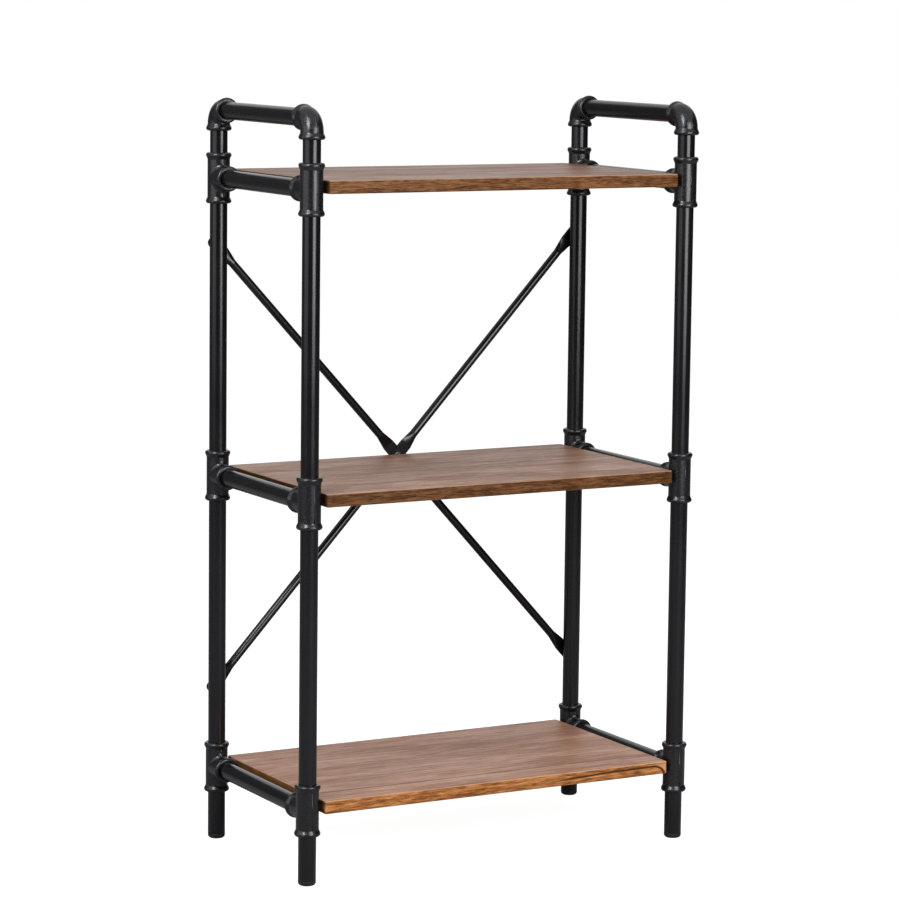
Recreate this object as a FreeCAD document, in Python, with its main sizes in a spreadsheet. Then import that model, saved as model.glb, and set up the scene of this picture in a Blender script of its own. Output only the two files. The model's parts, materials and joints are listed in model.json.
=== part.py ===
import FreeCAD
import Part
import math
import os
import Sketcher

# Three-tier shelving unit in the style of plumbing pipe. Two end frames of steel tube,
# tees and elbows carry three boards, and two crossed braces hold the back square.
# Millimetres, +X to the right, +Y to the rear, +Z up. The origin is on the floor,
# in the middle of the unit's width and of its whole depth.

SIZES = [
    # end frames
    ("post_span_x", 600, "between the centres of the left and right posts"),
    ("post_span_y", 295, "between the centres of the front and rear posts"),
    ("bottom_rail_height", 106, "centre of the bottom rails above the floor"),
    ("tier_spacing", 428, "from one tier of rails to the next"),
    ("handle_rise", 96.5, "from the top rails up to the handles"),
    ("tube_diameter", 25, "outside of every frame tube"),
    ("tube_wall", 1.2, "wall of every frame tube"),
    # tees and elbows
    ("fitting_wall", 3.4, "wall of a fitting round a tube, between its beads"),
    ("branch_wall", 2.9, "the same wall on a tee's branch"),
    ("bead_height", 2.2, "how far the bead round each mouth stands out from the wall"),
    ("bead_width", 4.6, "bead, measured along the tube"),
    ("bead_flare", 4.6, "taper from a bead down to the body"),
    ("bead_end_round", 3.2, "rounding of a bead at the mouth"),
    ("bead_crest_round", 3, "rounding between a bead and its taper"),
    ("bead_root_round", 4, "hollow between the taper and the body"),
    ("tee_reach", 20.3, "from the side of a tee's run to the mouth of its branch"),
    ("tee_blend", 7, "fillet between a tee's run and its branch"),
    ("tee_socket_depth", 18, "how far a tube goes into a tee"),
    ("elbow_throat", 3, "inside radius of an elbow's bend"),
    ("elbow_straight", 10.2, "from the end of an elbow's bend to the mouth"),
    ("elbow_socket_depth", 12, "how far a tube goes into an elbow"),
    ("socket_play", 0.1, "gap all round a tube in its socket"),
    ("stop_width", 1.75, "shoulder that stops a tube, inward from its outside"),
    ("branch_bore_step", 0.5, "how much narrower a branch's bore is than the run's, on the radius"),
    ("mouth_chamfer", 0.6, "lead-in round each socket"),
    # foot caps
    ("foot_height", 7, "foot cap below the tube"),
    ("foot_round", 4.5, "rounding of a foot cap's lower edge"),
    ("foot_lip_round", 0.5, "rounding of its upper edge, under the tube"),
    ("foot_plug_length", 14, "foot cap inside the tube"),
    ("foot_plug_wall", 2, "wall of the plug"),
    ("foot_plug_play", 0.1, "gap all round the plug"),
    # boards
    ("shelf_thickness", 18.5, "board"),
    ("shelf_end_gap", 2.2, "between a board's end and the beads of the tees"),
    ("shelf_front_overhang", 14, "board in front of the front posts' centres"),
    ("shelf_rear_gap", 0.5, "between a board's rear edge and the braces"),
    ("shelf_corner_radius", 3.5, "corners of a board, seen from above"),
    ("shelf_edge_round", 2, "edges of a board"),
    # tabs and screws under the boards
    ("tab_width", 25, "support tab, front to back"),
    ("tab_thickness", 2.5, "support tab"),
    ("tab_overlap", 22, "support tab under the end of a board"),
    ("tab_corner_radius", 6, "corners of the tab's free end"),
    ("tab_setback", 70, "from a post's centre to the middle of the tab"),
    ("screw_margin", 10, "from the screw to the tab's free end"),
    ("screw_diameter", 4, "shank"),
    ("screw_length", 15, "below the head"),
    ("screw_point", 3, "cone at the end of the shank"),
    ("screw_play", 0.25, "gap round a screw in its tab"),
    ("pilot_play", 0.05, "gap round a screw in its board"),
    ("screw_head_rim", 2, "pan head beyond the shank, on the radius"),
    ("screw_head_height", 2.6, "pan head"),
    ("screw_head_round", 1.2, "rounding of the pan head"),
    ("screw_slot_length", 4.6, "cross recess"),
    ("screw_slot_width", 1.1, "cross recess"),
    ("screw_slot_depth", 1.4, "cross recess"),
    # back braces
    ("upper_bolt_drop", 93, "from the top rails down to the upper brace bolts"),
    ("lower_bolt_rise", 115, "from the bottom rails up to the lower brace bolts"),
    ("brace_diameter", 12, "round part of a brace"),
    ("brace_wall", 1.2, "wall of a brace's round part"),
    ("brace_flat_thickness", 3, "flattened part"),
    ("brace_flat_width", 18.8, "flattened part"),
    ("brace_centre_flat", 20, "flat each side of the rivet"),
    ("brace_centre_taper", 22, "from that flat to the round part"),
    ("brace_end_flat", 18, "flat from the bolt towards the round part"),
    ("brace_end_taper", 24, "from that flat to the round part"),
    ("brace_end_margin", 8.5, "flat beyond the bolt"),
    ("brace_corner_radius", 7.5, "corners of the flat end"),
    # bolts, rivet nuts and the centre rivet
    ("bolt_diameter", 6, "brace bolt"),
    ("bolt_length", 14, "below the head"),
    ("bolt_play", 0.25, "gap round a bolt in its brace"),
    ("bolt_head_rim", 2.25, "button head beyond the shank, on the radius"),
    ("bolt_head_height", 3.3, "button head"),
    ("bolt_head_round", 2.6, "rounding of the button head"),
    ("bolt_key_width", 4, "hexagon socket, across its flats"),
    ("bolt_key_depth", 2, "hexagon socket"),
    ("rivet_nut_wall", 1.5, "wall of the sleeve round a bolt"),
    ("rivet_nut_length", 13, "sleeve"),
    ("rivet_nut_collar", 1, "how far the sleeve is squeezed out behind the post's wall"),
    ("rivet_nut_collar_width", 3, "the same collar, along the sleeve"),
    ("rivet_nut_play", 0.05, "gap between the sleeve and the wall"),
    ("rivet_diameter", 5, "centre rivet"),
    ("rivet_play", 0.1, "gap round the centre rivet"),
    ("rivet_head_rim", 2.5, "rivet's heads beyond the shank, on the radius"),
    ("rivet_head_height", 2, "centre rivet"),
    ("rivet_head_round", 1.5, "rounding of the rivet's heads"),
]

# Each of these is an expression over the sheet, so that a change of one size moves
# everything that depends on it.
TUBE_RADIUS = "sizes.tube_diameter / 2"
SOCKET_RADIUS = "(sizes.tube_diameter / 2 + sizes.socket_play)"
PASSAGE_RADIUS = "(sizes.tube_diameter / 2 - sizes.stop_width)"
RUN_RADIUS = f"({SOCKET_RADIUS} + sizes.fitting_wall)"
BRANCH_RADIUS = f"({SOCKET_RADIUS} + sizes.branch_wall)"
BEAD_RADIUS = f"({RUN_RADIUS} + sizes.bead_height)"
TEE_ARM = f"({RUN_RADIUS} + sizes.tee_reach)"
TEE_STOP = f"({TEE_ARM} - sizes.tee_socket_depth)"
ELBOW_BEND = f"({RUN_RADIUS} + sizes.elbow_throat)"
ELBOW_ARM = f"({ELBOW_BEND} + sizes.elbow_straight)"
ELBOW_STOP = f"({ELBOW_ARM} - sizes.elbow_socket_depth)"
TOP_RAIL_HEIGHT = "(sizes.bottom_rail_height + 2 * sizes.tier_spacing)"
HANDLE_HEIGHT = f"({TOP_RAIL_HEIGHT} + sizes.handle_rise)"
SHELF_LENGTH = f"(sizes.post_span_x - 2 * {BEAD_RADIUS} - 2 * sizes.shelf_end_gap)"
SHELF_UNDERSIDE = "(sizes.tube_diameter / 2 - sizes.shelf_thickness)"
TAB_REACH = f"({BEAD_RADIUS} + sizes.shelf_end_gap + sizes.tab_overlap)"
SCREW_REACH = f"({TAB_REACH} - sizes.screw_margin)"

# The braces lie flat against the backs of the rear posts.
BRACE_FLAT = "sizes.brace_flat_thickness"
BRACE_PLANE = f"(sizes.post_span_y / 2 + {TUBE_RADIUS} + {BRACE_FLAT} / 2)"
REAR_REACH = f"({BRACE_PLANE} + sizes.brace_diameter / 2)"
SHELF_REAR = f"({BRACE_PLANE} - sizes.brace_diameter / 2 - sizes.shelf_rear_gap)"
FRONT_REACH = f"(sizes.post_span_y / 2 + {BEAD_RADIUS})"
MIDDLE_Y = f"(({FRONT_REACH} - {REAR_REACH}) / 2)"
UPPER_BOLT_HEIGHT = f"({TOP_RAIL_HEIGHT} - sizes.upper_bolt_drop)"
LOWER_BOLT_HEIGHT = "(sizes.bottom_rail_height + sizes.lower_bolt_rise)"
BRACE_RISE = f"({UPPER_BOLT_HEIGHT} - {LOWER_BOLT_HEIGHT})"
BRACE_HALF = f"(sqrt(pow(sizes.post_span_x; 2) + pow({BRACE_RISE}; 2)) / 2)"
BRACE_MIDDLE_HEIGHT = f"(({UPPER_BOLT_HEIGHT} + {LOWER_BOLT_HEIGHT}) / 2)"
BRACE_SLOPE = f"atan({BRACE_RISE} / sizes.post_span_x)"

SCREW_HEAD_RADIUS = "(sizes.screw_diameter / 2 + sizes.screw_head_rim)"
BOLT_HEAD_RADIUS = "(sizes.bolt_diameter / 2 + sizes.bolt_head_rim)"
RIVET_HEAD_RADIUS = "(sizes.rivet_diameter / 2 + sizes.rivet_head_rim)"
RIVET_NUT_RADIUS = "(sizes.bolt_diameter / 2 + sizes.rivet_nut_wall)"

SIDES = {"left": "-sizes.post_span_x / 2", "right": "sizes.post_span_x / 2"}
ROWS = {
    "front": f"{MIDDLE_Y} - sizes.post_span_y / 2",
    "rear": f"{MIDDLE_Y} + sizes.post_span_y / 2",
}
TIERS = {
    "bottom": "sizes.bottom_rail_height",
    "middle": "sizes.bottom_rail_height + sizes.tier_spacing",
    "top": TOP_RAIL_HEIGHT,
}

X_AXIS = FreeCAD.Vector(1, 0, 0)
Y_AXIS = FreeCAD.Vector(0, 1, 0)
Z_AXIS = FreeCAD.Vector(0, 0, 1)
NO_TURN = FreeCAD.Rotation()
LIE_ALONG_Y = FreeCAD.Rotation(X_AXIS, -90)
FACE_FORWARD = FreeCAD.Rotation(Z_AXIS, 180)

# Rough places that a sketch is drawn at before its dimensions move it.
START_RADIUS = 10.0
START_ARM = 30.0
START_BEND = 20.0

# How near two places have to be to count as one, and to count as close together.
SAME = 1e-4
NEAR = 0.1

doc = FreeCAD.newDocument("shelving_unit")
sheet = doc.addObject("Spreadsheet::Sheet", "sizes")
for row, (alias, number, meaning) in enumerate(SIZES, start=1):
    sheet.set(f"A{row}", alias)
    sheet.set(f"B{row}", str(number))
    sheet.setAlias(f"B{row}", alias)
    sheet.set(f"C{row}", meaning)
doc.recompute()

pieces = []


# ---------------------------------------------------------------- building blocks


def new_piece(name, x, y, z, turn=NO_TURN):
    """A body of its own, placed by expressions for its origin."""
    body = doc.addObject("PartDesign::Body", name)
    body.Label = name
    body.Placement = FreeCAD.Placement(FreeCAD.Vector(), turn)
    for axis, expression in zip("xyz", (x, y, z)):
        body.setExpression(f".Placement.Base.{axis}", expression)
    pieces.append(body)
    return body


def origin_feature(body, role):
    """One of the body's own origin planes or axes."""
    return next(f for f in body.Origin.OriginFeatures if f.Role == role)


def new_sketch(body, plane, offset="0"):
    """A sketch on an origin plane, moved along that plane's normal by offset."""
    sketch = body.newObject("Sketcher::SketchObject", f"{body.Name}_sketch")
    sketch.AttachmentSupport = (origin_feature(body, plane), [""])
    sketch.MapMode = "FlatFace"
    sketch.setExpression("AttachmentOffset.Base.z", offset)
    return sketch


def bind(sketch, expression, *constraint):
    """Adds a dimension whose value is the expression."""
    index = sketch.addConstraint(Sketcher.Constraint(*constraint))
    sketch.setExpression(f"Constraints[{index}]", expression)


def draw_circle(sketch, radius, x="0", y="0"):
    """A circle with its centre and radius bound to expressions."""
    start = Part.Circle(FreeCAD.Vector(1, 1, 0), Z_AXIS, START_RADIUS)
    index = sketch.addGeometry(start, False)
    bind(sketch, radius, "Radius", index, START_RADIUS)
    bind(sketch, x, "DistanceX", -1, 1, index, 3, 1.0)
    bind(sketch, y, "DistanceY", -1, 1, index, 3, 1.0)


def draw_outline(sketch, corners):
    """A closed outline of straight lines through corners given as expressions."""
    count = len(corners)
    turns = [2 * math.pi * number / count for number in range(count)]
    start = [FreeCAD.Vector(math.cos(turn), math.sin(turn), 0) * START_RADIUS for turn in turns]
    first = sketch.GeometryCount
    for number in range(count):
        line = Part.LineSegment(start[number], start[(number + 1) % count])
        sketch.addGeometry(line, False)
    for number in range(count):
        following = first + (number + 1) % count
        sketch.addConstraint(Sketcher.Constraint("Coincident", first + number, 2, following, 1))
    for number, (x, y) in enumerate(corners):
        bind(sketch, x, "DistanceX", -1, 1, first + number, 1, start[number].x)
        bind(sketch, y, "DistanceY", -1, 1, first + number, 1, start[number].y)


def box_corners(left, right, low, high):
    """The corners of a rectangle, as expressions for draw_outline."""
    return [(left, low), (right, low), (right, high), (left, high)]


def add_pad(body, sketch, length, midplane=False, reverse=False):
    pad = body.newObject("PartDesign::Pad", f"{body.Name}_pad")
    pad.Profile = sketch
    pad.Midplane = midplane
    pad.Reversed = reverse
    pad.setExpression("Length", length)
    return pad


def add_turned(body, kind, sketch, axis):
    """A Revolution or a Groove, all the way round an axis of its sketch."""
    feature = body.newObject(f"PartDesign::{kind}", f"{body.Name}_{kind.lower()}")
    feature.Profile = sketch
    feature.ReferenceAxis = (sketch, [axis])
    feature.Angle = 360
    return feature


def add_pocket(body, sketch, depth, reverse=False, midplane=False):
    """A pocket, which has to take something away from the body."""
    doc.recompute()
    before = body.Shape.Volume
    pocket = body.newObject("PartDesign::Pocket", f"{body.Name}_pocket")
    pocket.Profile = sketch
    pocket.Reversed = reverse
    pocket.Midplane = midplane
    pocket.setExpression("Length", depth)
    doc.recompute()
    if pocket.Shape.Volume >= before:
        raise RuntimeError(f"{body.Name}: a pocket cuts nothing")
    return pocket


def add_edge_feature(body, kind, size_name, size, edges):
    """A Fillet or Chamfer of the given size on edges of the body's last feature."""
    base = body.Tip
    feature = body.newObject(f"PartDesign::{kind}", f"{body.Name}_{kind.lower()}")
    feature.Base = (base, edges)
    feature.setExpression(size_name, size)
    doc.recompute()
    return feature


def pick_edges(body, wanted):
    """Names of the edges of the body's last feature for which wanted says yes."""
    doc.recompute()
    edges = enumerate(body.Tip.Shape.Edges, start=1)
    return [f"Edge{number}" for number, edge in edges if wanted(edge)]


def pick_rings(body, distance, choose=None):
    """Names of the circles centred this far from the body's origin.

    choose is max for the largest of them, or min for the smallest. Without it, all
    are taken.
    """
    doc.recompute()
    found = {}
    for number, edge in enumerate(body.Tip.Shape.Edges, start=1):
        if not isinstance(edge.Curve, Part.Circle):
            continue
        if abs(edge.Curve.Center.Length - distance) < SAME:
            found[f"Edge{number}"] = edge.Curve.Radius
    if choose is None:
        return list(found)
    radius = choose(found.values())
    return [name for name in found if abs(found[name] - radius) < SAME]


def body_end(body):
    """How far the body goes along its own X axis."""
    doc.recompute()
    return body.Tip.Shape.BoundBox.XMax


def mouth_distance(body):
    """How far a fitting's mouths are from its origin. One of them faces down."""
    doc.recompute()
    return -body.Tip.Shape.BoundBox.ZMin


def finish_mouths(body):
    """Rounds the beads of a fitting, and the foot of each bead's taper."""
    arm = mouth_distance(body)
    ends = pick_rings(body, arm, max)
    add_edge_feature(body, "Fillet", "Radius", "sizes.bead_end_round", ends)
    crests = pick_rings(body, arm - sheet.bead_width, max)
    add_edge_feature(body, "Fillet", "Radius", "sizes.bead_crest_round", crests)
    roots = pick_rings(body, arm - sheet.bead_width - sheet.bead_flare)
    add_edge_feature(body, "Fillet", "Radius", "sizes.bead_root_round", roots)


def chamfer_sockets(body):
    """Breaks the inner edge of each mouth."""
    mouths = pick_rings(body, mouth_distance(body), min)
    add_edge_feature(body, "Chamfer", "Size", "sizes.mouth_chamfer", mouths)


def add_pattern(body, kind, originals, settings):
    """A Mirrored or LinearPattern of whole features, left as the body's result."""
    pattern = body.newObject(f"PartDesign::{kind}", f"{body.Name}_{kind.lower()}")
    pattern.Originals = originals
    for name, value in settings.items():
        setattr(pattern, name, value)
    body.Tip = pattern
    return pattern


# ---------------------------------------------------------------- frame tubes


def make_tube(name, x, y, z, length, turn=NO_TURN):
    """A straight tube that starts at its origin and runs along its own Z axis."""
    body = new_piece(name, x, y, z, turn)
    ring = new_sketch(body, "XY_Plane")
    draw_circle(ring, TUBE_RADIUS)
    draw_circle(ring, f"{TUBE_RADIUS} - sizes.tube_wall")
    add_pad(body, ring, length)
    return body


def drill_for_rivet_nut(body, height):
    """A hole through the tube's rear wall, for a rivet nut."""
    hole = new_sketch(body, "XZ_Plane")
    draw_circle(hole, f"{RIVET_NUT_RADIUS} + sizes.rivet_nut_play", y=height)
    add_pocket(body, hole, "sizes.tube_diameter")


def make_post(side, row):
    """One corner's line of tubes: leg, lower post, upper post and riser."""
    x, y = SIDES[side], ROWS[row]
    corner = f"{side}_{row}"
    leg_length = f"sizes.bottom_rail_height - {TEE_STOP} - sizes.foot_height"
    make_tube(f"{corner}_leg", x, y, "sizes.foot_height", leg_length)
    post_length = f"sizes.tier_spacing - 2 * {TEE_STOP}"
    lower = make_tube(f"{corner}_lower_post", x, y, f"{TIERS['bottom']} + {TEE_STOP}", post_length)
    upper = make_tube(f"{corner}_upper_post", x, y, f"{TIERS['middle']} + {TEE_STOP}", post_length)
    riser_length = f"sizes.handle_rise - {TEE_STOP} - {ELBOW_STOP}"
    make_tube(f"{corner}_riser", x, y, f"{TIERS['top']} + {TEE_STOP}", riser_length)
    if row == "rear":
        drill_for_rivet_nut(lower, f"sizes.lower_bolt_rise - {TEE_STOP}")
        drill_for_rivet_nut(upper, f"sizes.tier_spacing - sizes.upper_bolt_drop - {TEE_STOP}")


def make_rails(side):
    """The cross rails of one end frame, and the handle over them."""
    x = SIDES[side]
    for tier, height in TIERS.items():
        start = f"{ROWS['front']} + {TEE_STOP}"
        length = f"sizes.post_span_y - 2 * {TEE_STOP}"
        make_tube(f"{side}_{tier}_rail", x, start, height, length, LIE_ALONG_Y)
    start = f"{ROWS['front']} + {ELBOW_STOP}"
    length = f"sizes.post_span_y - 2 * {ELBOW_STOP}"
    make_tube(f"{side}_handle", x, start, HANDLE_HEIGHT, length, LIE_ALONG_Y)


# ---------------------------------------------------------------- fittings


def make_tee(side, row, tier):
    """A tee with its run upright and its branch towards the other row of posts.

    Its origin is where the two centre lines cross.
    """
    turn = NO_TURN if row == "front" else FACE_FORWARD
    body = new_piece(f"{side}_{row}_{tier}_tee", SIDES[side], ROWS[row], TIERS[tier], turn)
    crest = f"({TEE_ARM} - sizes.bead_width)"
    root = f"({crest} - sizes.bead_flare)"

    run = new_sketch(body, "XZ_Plane")
    draw_outline(run, [
        ("0", f"-{TEE_ARM}"), (BEAD_RADIUS, f"-{TEE_ARM}"), (BEAD_RADIUS, f"-{crest}"),
        (RUN_RADIUS, f"-{root}"), (RUN_RADIUS, root), (BEAD_RADIUS, crest),
        (BEAD_RADIUS, TEE_ARM), ("0", TEE_ARM),
    ])
    add_turned(body, "Revolution", run, "V_Axis")

    branch = new_sketch(body, "YZ_Plane")
    draw_outline(branch, [
        ("0", "0"), (TEE_ARM, "0"), (TEE_ARM, BEAD_RADIUS), (crest, BEAD_RADIUS),
        (root, BRANCH_RADIUS), ("0", BRANCH_RADIUS),
    ])
    add_turned(body, "Revolution", branch, "H_Axis")

    plain = (Part.Circle, Part.Line)
    seam = pick_edges(body, lambda edge: not isinstance(edge.Curve, plain))
    add_edge_feature(body, "Fillet", "Radius", "sizes.tee_blend", seam)
    finish_mouths(body)

    run_bore = new_sketch(body, "XZ_Plane")
    draw_outline(run_bore, [
        ("0", f"-{TEE_ARM}"), (SOCKET_RADIUS, f"-{TEE_ARM}"), (SOCKET_RADIUS, f"-{TEE_STOP}"),
        (PASSAGE_RADIUS, f"-{TEE_STOP}"), (PASSAGE_RADIUS, TEE_STOP), (SOCKET_RADIUS, TEE_STOP),
        (SOCKET_RADIUS, TEE_ARM), ("0", TEE_ARM),
    ])
    add_turned(body, "Groove", run_bore, "V_Axis")

    branch_passage = f"{PASSAGE_RADIUS} - sizes.branch_bore_step"
    branch_bore = new_sketch(body, "YZ_Plane")
    draw_outline(branch_bore, [
        ("0", "0"), (TEE_ARM, "0"), (TEE_ARM, SOCKET_RADIUS), (TEE_STOP, SOCKET_RADIUS),
        (TEE_STOP, branch_passage), ("0", branch_passage),
    ])
    add_turned(body, "Groove", branch_bore, "H_Axis")
    chamfer_sockets(body)


def draw_elbow_path(sketch):
    """The centre line of an elbow: up, round the bend and along to the rear."""
    arm, bend = START_ARM, START_BEND
    lower = Part.LineSegment(FreeCAD.Vector(0, -arm, 0), FreeCAD.Vector(0, -bend, 0))
    circle = Part.Circle(FreeCAD.Vector(bend, -bend, 0), Z_AXIS, bend)
    upper = Part.LineSegment(FreeCAD.Vector(bend, 0, 0), FreeCAD.Vector(arm, 0, 0))
    sketch.addGeometry(lower, False)
    sketch.addGeometry(Part.ArcOfCircle(circle, math.pi / 2, math.pi), False)
    sketch.addGeometry(upper, False)
    sketch.addConstraint(Sketcher.Constraint("Coincident", 0, 2, 1, 2))
    sketch.addConstraint(Sketcher.Constraint("Coincident", 1, 1, 2, 1))
    for line, axis in ((0, -2), (2, -1)):
        sketch.addConstraint(Sketcher.Constraint("PointOnObject", line, 1, axis))
        sketch.addConstraint(Sketcher.Constraint("PointOnObject", line, 2, axis))
    bind(sketch, ELBOW_ARM, "DistanceY", 0, 1, -1, 1, arm)
    bind(sketch, ELBOW_BEND, "DistanceY", 0, 2, -1, 1, bend)
    bind(sketch, ELBOW_BEND, "DistanceX", -1, 1, 2, 1, bend)
    bind(sketch, ELBOW_ARM, "DistanceX", -1, 1, 2, 2, arm)
    bind(sketch, ELBOW_BEND, "Radius", 1, bend)


def add_elbow_pipe(body, kind, path, radius):
    """Sweeps a circle along the elbow's centre line, to add or to take away."""
    end = new_sketch(body, "XY_Plane", f"-{ELBOW_ARM}")
    draw_circle(end, radius)
    pipe = body.newObject(f"PartDesign::{kind}", f"{body.Name}_{kind.lower()}")
    pipe.Profile = end
    pipe.Spine = (path, ["Edge1", "Edge2", "Edge3"])
    return pipe


def make_elbow(side, row):
    """A right-angled elbow from a riser to the handle. Its origin is at its corner."""
    turn = NO_TURN if row == "front" else FACE_FORWARD
    body = new_piece(f"{side}_{row}_elbow", SIDES[side], ROWS[row], HANDLE_HEIGHT, turn)
    path = new_sketch(body, "YZ_Plane")
    draw_elbow_path(path)
    add_elbow_pipe(body, "AdditivePipe", path, RUN_RADIUS)
    crest = f"({ELBOW_ARM} - sizes.bead_width)"
    root = f"({crest} - sizes.bead_flare)"
    lower = new_sketch(body, "YZ_Plane")
    draw_outline(lower, [
        ("0", f"-{ELBOW_ARM}"), (BEAD_RADIUS, f"-{ELBOW_ARM}"), (BEAD_RADIUS, f"-{crest}"),
        (RUN_RADIUS, f"-{root}"), ("0", f"-{root}"),
    ])
    add_turned(body, "Revolution", lower, "V_Axis")
    upper = new_sketch(body, "YZ_Plane")
    draw_outline(upper, [
        (root, "0"), (ELBOW_ARM, "0"), (ELBOW_ARM, BEAD_RADIUS), (crest, BEAD_RADIUS),
        (root, RUN_RADIUS),
    ])
    add_turned(body, "Revolution", upper, "H_Axis")
    finish_mouths(body)
    add_elbow_pipe(body, "SubtractivePipe", path, PASSAGE_RADIUS)
    for plane in ("XY_Plane", "XZ_Plane"):
        socket = new_sketch(body, plane, f"-{ELBOW_ARM}")
        draw_circle(socket, SOCKET_RADIUS)
        add_pocket(body, socket, "sizes.elbow_socket_depth", reverse=True)
    chamfer_sockets(body)


def make_foot_cap(side, row):
    """A cap under a leg, with a hollow plug that fills the end of the tube."""
    body = new_piece(f"{side}_{row}_foot_cap", SIDES[side], ROWS[row], "0")
    plug = f"({TUBE_RADIUS} - sizes.tube_wall - sizes.foot_plug_play)"
    top = "(sizes.foot_height + sizes.foot_plug_length)"
    hollow = f"({plug} - sizes.foot_plug_wall)"
    half = new_sketch(body, "XZ_Plane")
    draw_outline(half, [
        ("0", "0"), (TUBE_RADIUS, "0"), (TUBE_RADIUS, "sizes.foot_height"),
        (plug, "sizes.foot_height"), (plug, top), (hollow, top),
        (hollow, "sizes.foot_height"), ("0", "sizes.foot_height"),
    ])
    add_turned(body, "Revolution", half, "V_Axis")
    add_edge_feature(body, "Fillet", "Radius", "sizes.foot_round", pick_rings(body, 0, max))
    lip = pick_rings(body, sheet.foot_height, max)
    add_edge_feature(body, "Fillet", "Radius", "sizes.foot_lip_round", lip)


# ---------------------------------------------------------------- boards


def screw_places():
    """Where the screws stand under a board, from the board's centre line."""
    x = f"(sizes.post_span_x / 2 - {SCREW_REACH})"
    y = "(sizes.post_span_y / 2 - sizes.tab_setback)"
    return [(f"{a} * {x}", f"{b} * {y}") for a in (-1, 1) for b in (-1, 1)]


def make_shelf(tier):
    """A board between the end frames, its top level with the tops of the rails."""
    base = f"{TIERS[tier]} + {SHELF_UNDERSIDE}"
    body = new_piece(f"{tier}_shelf", "0", MIDDLE_Y, base)
    face = new_sketch(body, "XY_Plane")
    front = "-(sizes.post_span_y / 2 + sizes.shelf_front_overhang)"
    half_length = f"{SHELF_LENGTH} / 2"
    draw_outline(face, box_corners(f"-{half_length}", half_length, front, SHELF_REAR))
    add_pad(body, face, "sizes.shelf_thickness")
    corners = pick_edges(body, lambda edge: edge.BoundBox.ZLength > sheet.shelf_thickness / 2)
    add_edge_feature(body, "Fillet", "Radius", "sizes.shelf_corner_radius", corners)
    rims = pick_edges(body, lambda edge: edge.BoundBox.ZLength < SAME)
    add_edge_feature(body, "Fillet", "Radius", "sizes.shelf_edge_round", rims)
    pilots = new_sketch(body, "XY_Plane")
    for x, y in screw_places():
        draw_circle(pilots, "sizes.screw_diameter / 2 + sizes.pilot_play", x, y)
    add_pocket(body, pilots, "sizes.screw_length - sizes.tab_thickness + sizes.pilot_play", True)


def mirror_to_both_ends(body, originals):
    """Repeats what stands at the front left, at the rear and then on the right."""
    both = body.newObject("PartDesign::MultiTransform", f"{body.Name}_four")
    both.Originals = originals
    body.Tip = both
    back = body.newObject("PartDesign::LinearPattern", f"{body.Name}_to_rear")
    back.Direction = (origin_feature(body, "Y_Axis"), [""])
    back.Occurrences = 2
    back.setExpression("Length", "sizes.post_span_y - 2 * sizes.tab_setback")
    across = body.newObject("PartDesign::Mirrored", f"{body.Name}_to_right")
    across.MirrorPlane = (origin_feature(body, "YZ_Plane"), [""])
    both.Transformations = [back, across]
    body.Tip = both


def make_support_tabs(tier):
    """Four flat tabs welded to the rails, one under each quarter of the board.

    The origin is under the board, level with the front pair of tabs.
    """
    y = f"{ROWS['front']} + sizes.tab_setback"
    body = new_piece(f"{tier}_support_tabs", "0", y, f"{TIERS[tier]} + {SHELF_UNDERSIDE}")
    body.AllowCompound = True
    rail = "-sizes.post_span_x / 2"
    free_end = f"{rail} + {TAB_REACH}"
    half_width = "sizes.tab_width / 2"
    plate = new_sketch(body, "XY_Plane")
    draw_outline(plate, box_corners(rail, free_end, f"-{half_width}", half_width))
    tab = add_pad(body, plate, "sizes.tab_thickness", reverse=True)
    end = body_end(body)
    corners = pick_edges(body, lambda e: e.BoundBox.ZLength > NEAR and e.BoundBox.XMin > end - NEAR)
    rounding = add_edge_feature(body, "Fillet", "Radius", "sizes.tab_corner_radius", corners)
    hole = new_sketch(body, "XY_Plane")
    draw_circle(hole, "sizes.screw_diameter / 2 + sizes.screw_play", f"{rail} + {SCREW_REACH}")
    drilled = add_pocket(body, hole, "sizes.tab_thickness")
    saddle = new_sketch(body, "XZ_Plane")
    draw_circle(saddle, TUBE_RADIUS, rail, f"-{SHELF_UNDERSIDE}")
    seated = add_pocket(body, saddle, "2 * sizes.tab_width", midplane=True)
    mirror_to_both_ends(body, [tab, rounding, drilled, seated])


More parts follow.
